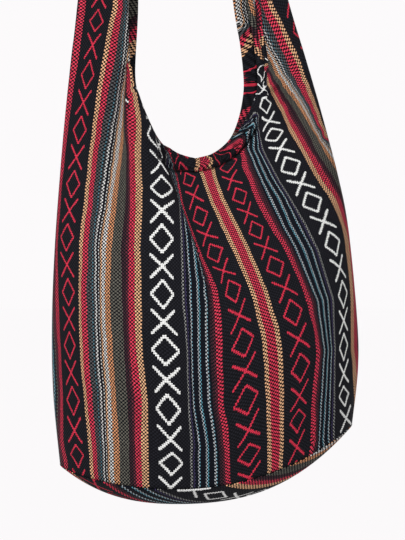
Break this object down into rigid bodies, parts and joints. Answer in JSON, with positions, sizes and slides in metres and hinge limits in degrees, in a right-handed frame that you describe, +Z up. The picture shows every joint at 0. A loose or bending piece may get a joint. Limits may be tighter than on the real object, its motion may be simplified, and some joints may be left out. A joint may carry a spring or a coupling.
{
  "type": "woven hobo shoulder bag",
  "caption": "Slouchy striped cloth shoulder bag that hangs by a wide folded cloth strap, with a deep scooped mouth and an oval base.",
  "frame": {"origin": "middle of the strap's underside, where the bag hangs", "axes": "+Z up along the hanging bag, -Y towards the front panel, +X to the right as the front is seen"},
  "size_m": [0.3413, 0.2036, 0.908],
  "materials": {
    "striped_cloth_front": "coarse plain weave",
    "striped_cloth_back": "coarse plain weave",
    "striped_cloth_base": "coarse plain weave"
  },
  "bodies": {
    "root": {"front_panel": "striped_cloth_front", "back_panel": "striped_cloth_back", "base_panel": "striped_cloth_base"}
  },
  "joints": []
}
